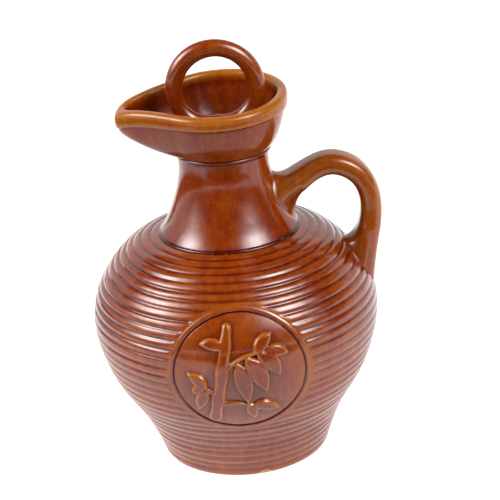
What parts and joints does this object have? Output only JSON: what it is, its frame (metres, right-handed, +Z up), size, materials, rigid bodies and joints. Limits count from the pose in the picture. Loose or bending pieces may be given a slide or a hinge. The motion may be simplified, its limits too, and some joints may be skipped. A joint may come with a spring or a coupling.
{
  "type": "sake bottle",
  "caption": "Ribbed glazed ceramic sake bottle with a round belly, pouring cup with spout, strap handle, front medallion and a lift-out ring stopper.",
  "frame": {"origin": "centre of the foot on the bottle's axis, on the plane that the foot stands on", "axes": "+Z up along the bottle's axis, spout towards -X, handle towards +X, medallion facing -Y"},
  "size_m": [0.1342, 0.1311, 0.1945],
  "materials": {
    "belly_glaze": "gloss amber-brown glaze over throwing ribs, darker in the grooves",
    "neck_glaze": "gloss amber-brown glaze",
    "cup_glaze": "gloss amber-brown glaze, honey-coloured where it thins on the rim band",
    "handle_glaze": "gloss amber-brown glaze, honey-coloured on the strap's edges",
    "medallion_glaze": "gloss amber-brown glaze pooling around the relief",
    "relief_glaze": "gloss glaze thinned to honey on raised edges",
    "stopper_glaze": "gloss amber-brown glaze",
    "seal_silicone": "satin translucent silicone"
  },
  "bodies": {
    "bottle": {"jar_body": "belly_glaze", "neck": "neck_glaze", "pouring_cup": "cup_glaze", "handle": "handle_glaze", "medallion_plaque": "medallion_glaze", "medallion_motif": "relief_glaze"},
    "seal": {"stopper_seal": "seal_silicone"},
    "stopper": {"stopper_plug": "stopper_glaze", "stopper_ring": "stopper_glaze"}
  },
  "joints": [
    {"name": "stopper_lift", "type": "slide", "parent": "bottle", "child": "seal", "axis": [0, 0, 1], "range_m": [0, 0.06]},
    {"name": "stopper_turn", "type": "hinge", "parent": "seal", "child": "stopper", "pos_m": [0, 0, 0.1515], "axis": [0, 0, 1], "continuous": true}
  ]
}
